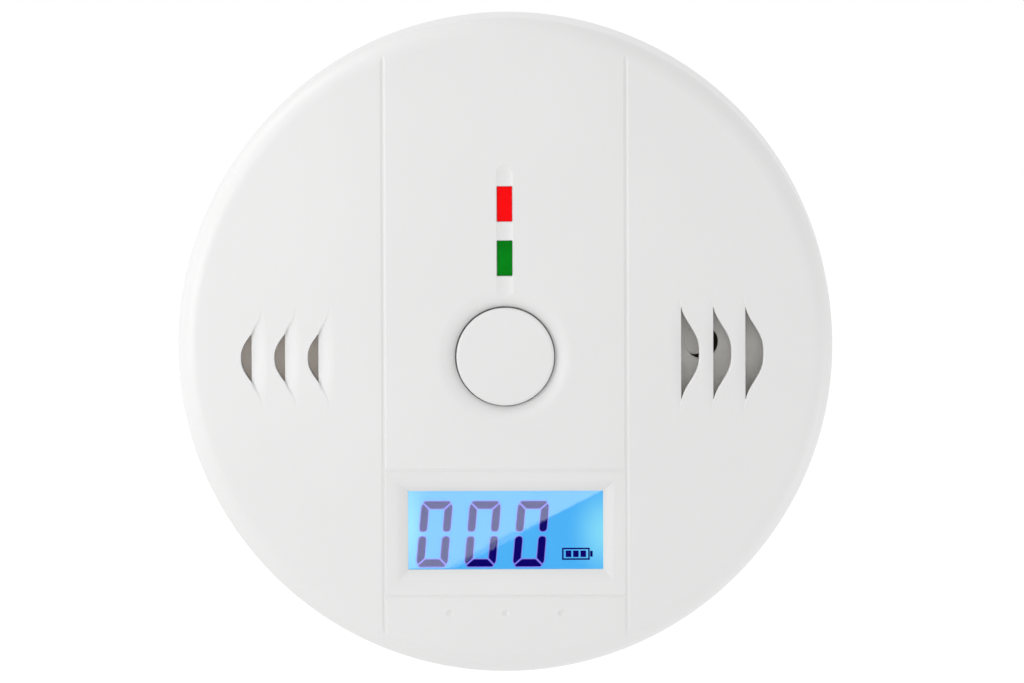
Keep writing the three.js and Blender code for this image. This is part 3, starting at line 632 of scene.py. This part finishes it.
def button_cap():
    """The cap with its hidden flange and the stem that reaches the switch."""
    stem_back, front = extent("test_button")[2]
    soft, bevel, stem_bevel = 0.45, 0.1, 0.2
    flange, low, high = FLANGE["radius"], FLANGE["back"], FLANGE["front"]
    edge = arc((BUTTON_RADIUS - soft, front - soft), soft, 0, 90, 8)
    cap = lathe("button_cap", [
        (0, stem_back), (STEM_RADIUS - stem_bevel, stem_back), (STEM_RADIUS, stem_back + stem_bevel),
        (STEM_RADIUS, low), (flange - bevel, low), (flange, low + bevel), (flange, high - bevel),
        (flange - bevel, high), (BUTTON_RADIUS, high), *edge, (0, front),
    ], 160, (BUTTON_PLAY, BUTTON_Z - BUTTON_PLAY))
    return dress(tidy(cap), "button_white", "button", ["test_button"])


# ---------------------------------------------------------------- lights
def lens(name, slot):
    """A rectangular diode: softened lens, flange and legs."""
    (_, _), (z_low, z_high), (back, front) = extent(name)
    z = middle((z_low, z_high))
    lens_back, flange_back, flange_front, leg_front = 27.6, 27.5, 29.2, 28
    leg_offset, leg = 1.27, 0.5
    body = slab(name + "_lens", rounded(0, z, LED_WIDTH, LED_LENGTH, 0.12, 4), lens_back, front, 0.1)
    flange_outline = rounded(0, z, LED_WIDTH + 1.2, LED_LENGTH + 1, 0.3, 4)
    flange = loft("flange", upright(flange_outline, flange_back, flange_front))
    legs = [loft("leg", upright(rounded(0, z + side * leg_offset, leg, leg, 0.08, 2), back, leg_front))
            for side in (-1, 1)]
    boolean(body, [flange], "UNION")
    boolean(body, legs, "UNION")
    return dress(tidy(body), slot, replaces=[name])


# ---------------------------------------------------------------- display
SLANT = math.tan(math.radians(5.2))
DIGIT = {"width": 4.65, "height": 9.9, "stroke": 1.1, "gap": 0.21, "pitch": 7.3, "first": -10.8, "z": -28.7}
DIGITS = 3
STROKES = 6
HALO_WIDTH = 0.14
INK_THICKNESS = 0.02
HALO_GAP, INK_GAP = 0.01, 0.04  # how far the haloes and the strokes lie in front of the glass
HALO_STEP = 0.001  # a digit's haloes overlap, so each lies this much further out than the last
BATTERY_PLACE = (10.6, -31.75)


def slanted(x, z, points):
    """Outline points of a digit, leant over and put in place."""
    return [(x + px + pz * SLANT, z + pz) for px, pz in points]


def strokes():
    """The six lit strokes of a seven-segment nought, about its own middle."""
    half_w, half_h = DIGIT["width"] / 2, DIGIT["height"] / 2
    stroke, gap = DIGIT["stroke"], DIGIT["gap"]
    flat = [(-half_w + gap + 0.3, half_h), (half_w - gap - 0.3, half_h), (half_w - gap - 0.1, half_h - 0.2),
            (half_w - stroke - gap, half_h - stroke), (-half_w + stroke + gap, half_h - stroke),
            (-half_w + gap + 0.1, half_h - 0.2)]
    foot = 0.36
    side = [(-half_w + 0.15, half_h - gap - 0.3), (-half_w + 0.25, half_h - gap - 0.25),
            (-half_w + stroke, half_h - stroke - gap), (-half_w + stroke, foot + 0.45),
            (-half_w + stroke * 0.85, foot + 0.12), (-half_w + stroke * 0.5, foot),
            (-half_w + stroke * 0.15, foot + 0.12), (-half_w, foot + 0.45), (-half_w, half_h - gap - 0.6)]
    shapes = []
    for up in (1, -1):
        shapes.append([(px, pz * up) for px, pz in flat])
        for right in (1, -1):
            shapes.append([(px * right, pz * up) for px, pz in side])
    return shapes


def grown(outline, amount):
    """An outline moved outwards by an amount on every side."""
    count = len(outline)
    size = sum(outline[i][0] * outline[(i + 1) % count][1] - outline[(i + 1) % count][0] * outline[i][1]
               for i in range(count))
    turn = 1 if size > 0 else -1
    points = []
    for i in range(count):
        before, here, after = outline[i - 1], outline[i], outline[(i + 1) % count]
        first = Vector((here[0] - before[0], here[1] - before[1])).normalized()
        second = Vector((after[0] - here[0], after[1] - here[1])).normalized()
        out_1, out_2 = Vector((first.y, -first.x)) * turn, Vector((second.y, -second.x)) * turn
        out = (out_1 + out_2).normalized()
        step = amount / max(0.4, out.dot(out_1))
        points.append((here[0] + out.x * step, here[1] + out.y * step))
    return points


def flat_piece(name, outlines, back, front):
    """Thin flat shapes as one piece."""
    return join(name, [loft("stroke", upright(outline, back, front)) for outline in outlines])


def battery_sign(x, z):
    """A plain battery pictogram: outline, knob and three cells."""
    half_w, half_h, line = 2.1, 0.92, 0.24
    knob_width, knob_height, knob_offset = 0.4, 0.9, 0.25
    cell_width, cell_height, cell_pitch = 0.85, 1.0, 1.12
    shapes = []
    for side in (-1, 1):
        shapes.append([(x - half_w, z + side * half_h), (x + half_w, z + side * half_h),
                       (x + half_w, z + side * (half_h - line)), (x - half_w, z + side * (half_h - line))])
        shapes.append([(x + side * half_w, z - half_h + line), (x + side * half_w, z + half_h - line),
                       (x + side * (half_w - line), z + half_h - line),
                       (x + side * (half_w - line), z - half_h + line)])
    shapes.append(rounded(x + half_w + knob_offset, z, knob_width, knob_height, 0.08, 2))
    for column in (-1, 0, 1):
        shapes.append(rounded(x + column * cell_pitch, z, cell_width, cell_height, 0.06, 2))
    return shapes


def face_outline(node, radius, steps):
    """The outline of a flat CAD node as seen from the front, with round corners."""
    x, z, _ = extent(node)
    return rounded(middle(x), middle(z), x[1] - x[0], z[1] - z[0], radius, steps)


def display():
    """The lit glass, the haloes and strokes that lie on it, and the clear window over them."""
    back, front = extent("lcd_glass")[2]
    glass = slab("display_glass", face_outline("lcd_glass", 0.2, 3), back, front, 0.08)
    dress(tidy(glass), "display_glass", replaces=["lcd_glass"])
    columns = [DIGIT["first"] + index * DIGIT["pitch"] for index in range(DIGITS)]
    shapes = [slanted(x, DIGIT["z"], stroke) for x in columns for stroke in strokes()]
    for index, shape in enumerate(shapes):
        level = front + HALO_GAP + HALO_STEP * (index % STROKES)
        outline = grown(shape, HALO_WIDTH)
        halo = flat_piece(f"segment_halo_{index + 1}", [outline], level, level + INK_THICKNESS)
        dress(halo, "display_glass", material=HALO)
    shapes += battery_sign(*BATTERY_PLACE)
    level = front + INK_GAP
    segments = flat_piece("display_segments", shapes, level, level + INK_THICKNESS)
    dress(segments, "display_glass", material=INK)
    window = slab("display_window", face_outline("lcd_window", 0.4, 4), *extent("lcd_window")[2], 0.06)
    dress(tidy(window), "window_clear", replaces=["lcd_window"])


# ---------------------------------------------------------------- behind the louvres
CUP = {"hole": 2.53, "inner": 9.6, "ledge": 29.9, "bore": 10.8, "front_wall": 1.6}
DOME = ((9.2, 0.25), (8.2, 0.08), (6.8, 0))  # (radius, how far behind the front)
BAFFLE = {"radius": 2.1, "x": -1.05, "z": 0.15, "sunk": 0.5, "back": 1.4, "soft": 0.2}


def sounder():
    """The sounder's cup: a sound hole, partly covered by a round baffle, in a domed front."""
    x, z, (back, front) = extent("sounder_housing")
    radius, centre = (x[1] - x[0]) / 2, (middle(x), middle(z))
    hole, inside, soft, bevel = CUP["hole"], front - CUP["front_wall"], 0.8, 0.1
    wall_top = front - 1.3
    cup = lathe("sounder_cup", [
        (radius, back), (radius, wall_top), *arc((radius - soft, wall_top), soft, 0, 90, 6),
        *[(r, front - drop) for r, drop in DOME], (hole + bevel, front), (hole, front - bevel),
        (hole, inside), (CUP["inner"], inside), (CUP["inner"], CUP["ledge"]),
        (CUP["bore"], CUP["ledge"]), (CUP["bore"], back),
    ], 128, centre)
    low, high, soft = front - BAFFLE["back"], front - BAFFLE["sunk"], BAFFLE["soft"]
    edge = arc((BAFFLE["radius"] - soft, high - soft), soft, 0, 90, 4)
    baffle = lathe("baffle", [(0, low), (BAFFLE["radius"], low), *edge, (0, high)], 64,
                   (centre[0] + BAFFLE["x"], centre[1] + BAFFLE["z"]))
    boolean(cup, [baffle], "UNION")
    return dress(tidy(cup), "grey_plastic", replaces=["sounder_housing"], material=SOUNDER_GREY_PAINTED_GLOW)


def sensor_lid():
    """The filter lid of the gas sensor, with its ring of holes."""
    x, z, (back, front) = extent("sensor_cap")
    radius, centre = (x[1] - x[0]) / 2, (middle(x), middle(z))
    soft, hole, mouth, circle, count = 0.3, 0.6, 0.8, 2.6, 6
    edge = arc((radius - soft, front - soft), soft, 0, 90, 5)
    lid = lathe("sensor_lid", [(0, back), (radius, back), *edge, (0, front)], 96, centre)
    drill = [(0, back - 1), (hole, back - 1), (hole, front - 0.1), (mouth, front + 0.1),
             (mouth, front + 1), (0, front + 1)]
    holes = []
    for index in range(count):
        dx, dz = polar(circle, index * 360 / count)
        holes.append(lathe("hole", drill, 24, (centre[0] + dx, centre[1] + dz)))
    boolean(lid, holes)
    return dress(tidy(lid), "grey_plastic", replaces=["sensor_cap"])


# ---------------------------------------------------------------- rear housing
BAY = {"half_width": 23, "half_length": 29, "wall": 1.6, "ceiling": 18.8, "top": 20.3}
HOOK_ANGLES = (90, 210, 330)
HOOK = {"inner": 42.5, "stem": 44.5, "lip": 46.5, "half": 5.5, "play": 0.7, "back": 5.6, "top": 7.1}
TWIST = 12
STANDOFFS = ((20, 32.5), (-20, 32.5), (25.5, -27), (-25.5, -27))
POST = {"radius": 3, "top": 23.7, "pilot_radius": 1.4, "pilot_back": 15, "pilot_top": 25}
TONGUE = {"outer": 46.7, "inner": 45.5, "height": 2, "bevel": 0.2}
BOSS_RADIUS = 4.2
BOSS_FOOT = 4.3
BORE = {"head_radius": 3.2, "back": 2, "head_end": 8.7, "shank_radius": 1.6}
CONTACT_SLOT = {"x": 14.8, "z": 28.45, "width": 4, "height": 1.2}


def ring_sector(inner, outer, start, end, heights, steps=10):
    """A piece of a ring between two angles in degrees."""
    outline = arc((0, 0), outer, start, end, steps) + arc((0, 0), inner, end, start, steps)
    return loft("sector", upright(outline, *heights))


def rear_housing():
    """The back half of the case: shell, battery tub, screw bosses, board posts and twist-lock tracks."""
    floor = HOUSING_BACK + WALL
    inner = 47.6
    back_edge = arc((REAR_RADIUS - 0.8, HOUSING_BACK + 0.8), 0.8, -90, 0, 8)
    tongue, bevel, top = TONGUE["outer"], TONGUE["bevel"], SEAM + TONGUE["height"]
    shell = lathe("case_back", [
        (0, HOUSING_BACK), *back_edge, *softened(SEAM_RADIUS, SEAM, 1), (tongue, SEAM),
        (tongue, top - bevel), (tongue - bevel, top), (TONGUE["inner"], top), (TONGUE["inner"], SEAM - 1),
        (inner, SEAM - 3), (inner, floor + 0.6), (inner - 0.6, floor), (0, floor),
    ])
    width, length = 2 * BAY["half_width"], 2 * BAY["half_length"]
    tub_outline = rounded(0, 0, width + 2 * BAY["wall"], length + 2 * BAY["wall"], 2)
    tub = loft("tub", upright(tub_outline, HOUSING_BACK + 0.5, BAY["top"]))
    boss, boss_top = BOSS_RADIUS, SEAM - 0.5
    bosses = [lathe("boss", [(0, BOSS_FOOT), (boss, BOSS_FOOT), (boss, boss_top), (0, boss_top)],
                    48, polar(SCREW_RADIUS, angle)) for angle in SCREW_ANGLES]
    boolean(shell, [tub, *bosses], "UNION")
    post, post_top = POST["radius"], POST["top"]
    posts = [lathe("post", [(0, BOSS_FOOT), (post, BOSS_FOOT), (post, post_top), (0, post_top)], 40, place)
             for place in STANDOFFS]
    boolean(shell, posts, "UNION")
    cuts = [loft("bay", upright(rounded(0, 0, width, length, 1), HOUSING_BACK - 1, BAY["ceiling"]))]
    pilot, low, high = POST["pilot_radius"], POST["pilot_back"], POST["pilot_top"]
    cuts += [lathe("pilot", [(0, low), (pilot, low), (pilot, high), (0, high)], 24, place)
             for place in STANDOFFS]
    head, shank = BORE["head_radius"], BORE["shank_radius"]
    bore = [(0, BORE["back"]), (head, BORE["back"]), (head, BORE["head_end"]), (shank, BORE["head_end"]),
            (shank, SEAM + 1), (0, SEAM + 1)]
    cuts += [lathe("bore", bore, 32, polar(SCREW_RADIUS, angle)) for angle in SCREW_ANGLES]
    for angle in HOOK_ANGLES:
        reach = HOOK["half"] + HOOK["play"]
        heights = (HOUSING_BACK - 1, floor + 1)
        cuts.append(ring_sector(HOOK["inner"] - FIT, HOOK["lip"] + FIT, angle - TWIST - reach,
                                angle - TWIST + reach, heights))
    boolean(shell, cuts)
    heights = (HOUSING_BACK - 0.9, floor + 0.9)
    tracks = [ring_sector(HOOK["inner"] - FIT + 0.01, HOOK["stem"] + FIT, angle - TWIST,
                          angle + HOOK["half"] + HOOK["play"], heights) for angle in HOOK_ANGLES]
    tails = []
    for side in (-1, 1):
        outline = rounded(side * CONTACT_SLOT["x"], side * CONTACT_SLOT["z"], CONTACT_SLOT["width"],
                          CONTACT_SLOT["height"], 0.2, 3)
        tails.append(loft("tail", upright(outline, BAY["ceiling"] - 1, BAY["top"] + 1)))
    boolean(shell, tracks + tails)
    return dress(tidy(shell), "case_white", replaces=["rear_housing"])


# ---------------------------------------------------------------- wall plate
PLATE = {"rim": 3, "web": 2, "rim_inner": 47.2, "corner": 0.4, "bevel": 0.2, "fillet": 0.3}
POCKET = {"inner": 14, "outer": 45.5, "depth": 0.7, "spans": ((20, 57), (63, 117), (123, 160))}
SCREW_SLOT = {"x": 30, "length": 11, "width": 5, "funnel": 0.6}


def wall_plate():
    """The plate on the wall: rim, three hooks, six back pockets and two screw slots."""
    rim, web, corner, bevel = PLATE["rim"], PLATE["web"], PLATE["corner"], PLATE["bevel"]
    step, fillet = PLATE["rim_inner"], PLATE["fillet"]
    plate = lathe("wall_plate", [
        (0, 0), *reversed(softened(PLATE_RADIUS, 0, -1, corner)), *softened(PLATE_RADIUS, rim, 1, corner),
        (step + bevel, rim), (step, rim - bevel), (step, web + fillet), (step - fillet, web), (0, web),
    ])
    stems, lips = [], []
    for angle in HOOK_ANGLES:
        start, end = angle - HOOK["half"], angle + HOOK["half"]
        stems.append(ring_sector(HOOK["inner"], HOOK["stem"], start, end, (1, HOOK["top"])))
        lips.append(ring_sector(HOOK["inner"] + 0.5, HOOK["lip"], start + 0.01, end - 0.01,
                                (HOOK["back"], HOOK["top"] - 0.01)))
    boolean(plate, stems, "UNION")
    boolean(plate, lips, "UNION")
    cuts = []
    for turn in (0, 180):
        for start, end in POCKET["spans"]:
            cuts.append(ring_sector(POCKET["inner"], POCKET["outer"], turn + start, turn + end,
                                    (-1, POCKET["depth"]), 24))
    length, across, funnel = SCREW_SLOT["length"], SCREW_SLOT["width"], SCREW_SLOT["funnel"]
    end_round = across / 2 - 0.001
    for x, width, height in ((-SCREW_SLOT["x"], length, across), (SCREW_SLOT["x"], across, length)):
        outline = rounded(x, 0, width, height, end_round, 10)
        wide = rounded(x, 0, width + 2 * funnel, height + 2 * funnel, end_round + funnel, 10)
        cuts.append(loft("slot", upright(outline, -1, web - funnel) + upright(wide, web, rim)))
    boolean(plate, cuts)
    return dress(tidy(plate), "plate_white", "wall_plate", ["mounting_plate"])


# ---------------------------------------------------------------- carried-over CAD nodes
def dress_nodes():
    """Each CAD node that stays gets the finish of its slot; the sounder's disc instead gets brass darkened
    almost to black, painted shade for the hollow behind the sound hole.
    """
    slots = {row["node"]: row["material_slot"] for row in frame["record"]["subparts"]}
    for name, node in frame["nodes"].items():
        node.data.materials.clear()
        node.data.materials.append(BRASS_DARKENED_AS_PAINTED_SHADE if name == "sounder_disc" else FINISHES[slots[name]])


# ---------------------------------------------------------------- stage
CAMERA = {"azimuth": 0.65, "elevation": 2.7, "roll": 0.2, "distance": 1.4, "aim_x": 1.07, "aim_z": 0.63,
          "view_width": 154.6}


def camera():
    """A long lens almost square to the face, as wide at the face as the picture."""
    azimuth, elevation = math.radians(CAMERA["azimuth"]), math.radians(CAMERA["elevation"])
    aim = at(CAMERA["aim_x"], CAMERA["aim_z"], FACE)
    back = Vector((math.sin(azimuth) * math.cos(elevation), -math.cos(azimuth) * math.cos(elevation),
                   math.sin(elevation)))
    data = bpy.data.cameras.new("camera")
    data.sensor_width = 36
    data.lens = data.sensor_width * CAMERA["distance"] / (CAMERA["view_width"] * MM)
    data.clip_start, data.clip_end = 0.01, 100
    eye = bpy.data.objects.new("camera", data)
    eye.location = aim + back * CAMERA["distance"]
    turn = (-back).to_track_quat("-Z", "Y").to_matrix()
    eye.rotation_euler = turn.to_euler()
    eye.rotation_euler.rotate_axis("Z", -math.radians(CAMERA["roll"]))
    bpy.context.scene.collection.objects.link(eye)
    bpy.context.scene.camera = eye
    return eye


def area(name, centre, across, facing, width, height, radiance):
    """A soft light with its long side along one direction, facing another; the camera doesn't see it."""
    data = bpy.data.lights.new(name, "AREA")
    data.shape = "RECTANGLE"
    data.size, data.size_y = width, height
    data.energy = math.pi * width * height * radiance
    back = -Vector(facing).normalized()
    side = Vector(across)
    side = (side - back * side.dot(back)).normalized()
    up = back.cross(side)
    light = bpy.data.objects.new(name, data)
    light.matrix_world = Matrix(((side.x, up.x, back.x, centre[0]), (side.y, up.y, back.y, centre[1]),
                                 (side.z, up.z, back.z, centre[2]), (0, 0, 0, 1)))
    light.visible_camera = False
    bpy.context.scene.collection.objects.link(light)
    return light


def mirrored(point, eye):
    """Where the line of sight to a point of the flat window goes, once mirrored, beside the camera."""
    return Vector((2 * point.x - eye.x, eye.y, 2 * point.z - eye.z))


# The soft box that the display mirrors: its edge runs between two points of the face, in millimetres.
# Its own size, and the card's, are in metres.
GLARE = {"start": (-7.76, -33.64), "end": (14.81, -21.99), "width": 0.13, "height": 0.07,
         "radiance": 3.2, "colour": (0.8, 0.82, 1.0)}
CARD = {"half_width": 0.1, "half_height": 0.055, "behind": 0.02}


def glare(eye):
    """A soft box in front of a dark card: the display window mirrors both, up to the box's slanting edge."""
    left = mirrored(at(*GLARE["start"], FACE), eye.location)
    right = mirrored(at(*GLARE["end"], FACE), eye.location)
    along = (right - left).normalized()
    centre = (left + right) / 2 + Vector((-along.z, 0, along.x)) * GLARE["height"] / 2
    box = area("glare", centre, along, (0, 1, 0), GLARE["width"], GLARE["height"], GLARE["radiance"])
    box.data.color = GLARE["colour"]
    behind = mirrored(at(0, WINDOW["z"], FACE), eye.location)
    corners = [(behind.x + side * CARD["half_width"], behind.y - CARD["behind"],
                behind.z + up * CARD["half_height"])
               for side, up in ((-1, -1), (1, -1), (1, 1), (-1, 1))]
    mesh = bpy.data.meshes.new("dark_card")
    mesh.from_pydata(corners, [], [(0, 1, 2, 3)])
    mesh.materials.append(finish("black_card", (0.01, 0.01, 0.01), 0.9))
    card = bpy.data.objects.new("dark_card", mesh)
    card.visible_camera = False
    bpy.context.scene.collection.objects.link(card)


# The lights: where each stands, in metres, the direction of one side, its size and its radiance.
LIGHTS = {
    "key": ((-0.15, -0.158, 0.02), (0, 0, 1), 0.08, 4.0),
    "rim": ((-0.52, -0.11, 0.56), (0, 1, 0), 0.3, 4.0),
    "fill": ((0.6, -0.13, -0.2), (0, 1, 0), 0.25, 2),
}
FLOOR_HALF, FLOOR_HEIGHT = 12, -0.35  # metres


def stage(eye):
    """A pale floor, a white surround and the lights."""
    floor_material = finish("pale_floor", (0.90, 0.90, 0.90), 0.9, tint=0.004, grain=1e-6, grain_scale=300,
                            sockets={"Emission Color": (1, 1, 1, 1), "Emission Strength": 0.14})
    corners = ((-1, -1), (1, -1), (1, 1), (-1, 1))
    points = [(FLOOR_HALF * x, FLOOR_HALF * y, FLOOR_HEIGHT) for x, y in corners]
    mesh = bpy.data.meshes.new("floor")
    mesh.from_pydata(points, [], [(0, 1, 2, 3)])
    mesh.materials.append(floor_material)
    floor = bpy.data.objects.new("floor", mesh)
    bpy.context.scene.collection.objects.link(floor)
    world = bpy.data.worlds.new("world")
    world.use_nodes = True
    world.node_tree.nodes["Background"].inputs["Color"].default_value = (1, 1, 1, 1)
    world.node_tree.nodes["Background"].inputs["Strength"].default_value = 1.0
    bpy.context.scene.world = world
    for name, (place, across, size, radiance) in LIGHTS.items():
        area(name, place, across, -Vector(place), size, size, radiance)
    glare(eye)


def main():
    front_cover()
    rear_housing()
    wall_plate()
    button_cap()
    lens("alarm_led", "red_lens")
    lens("power_led", "green_lens")
    display()
    sounder()
    sensor_lid()
    dress_nodes()
    eye = camera()
    stage(eye)
    bpy.context.scene.view_settings.view_transform = "Standard"


main()
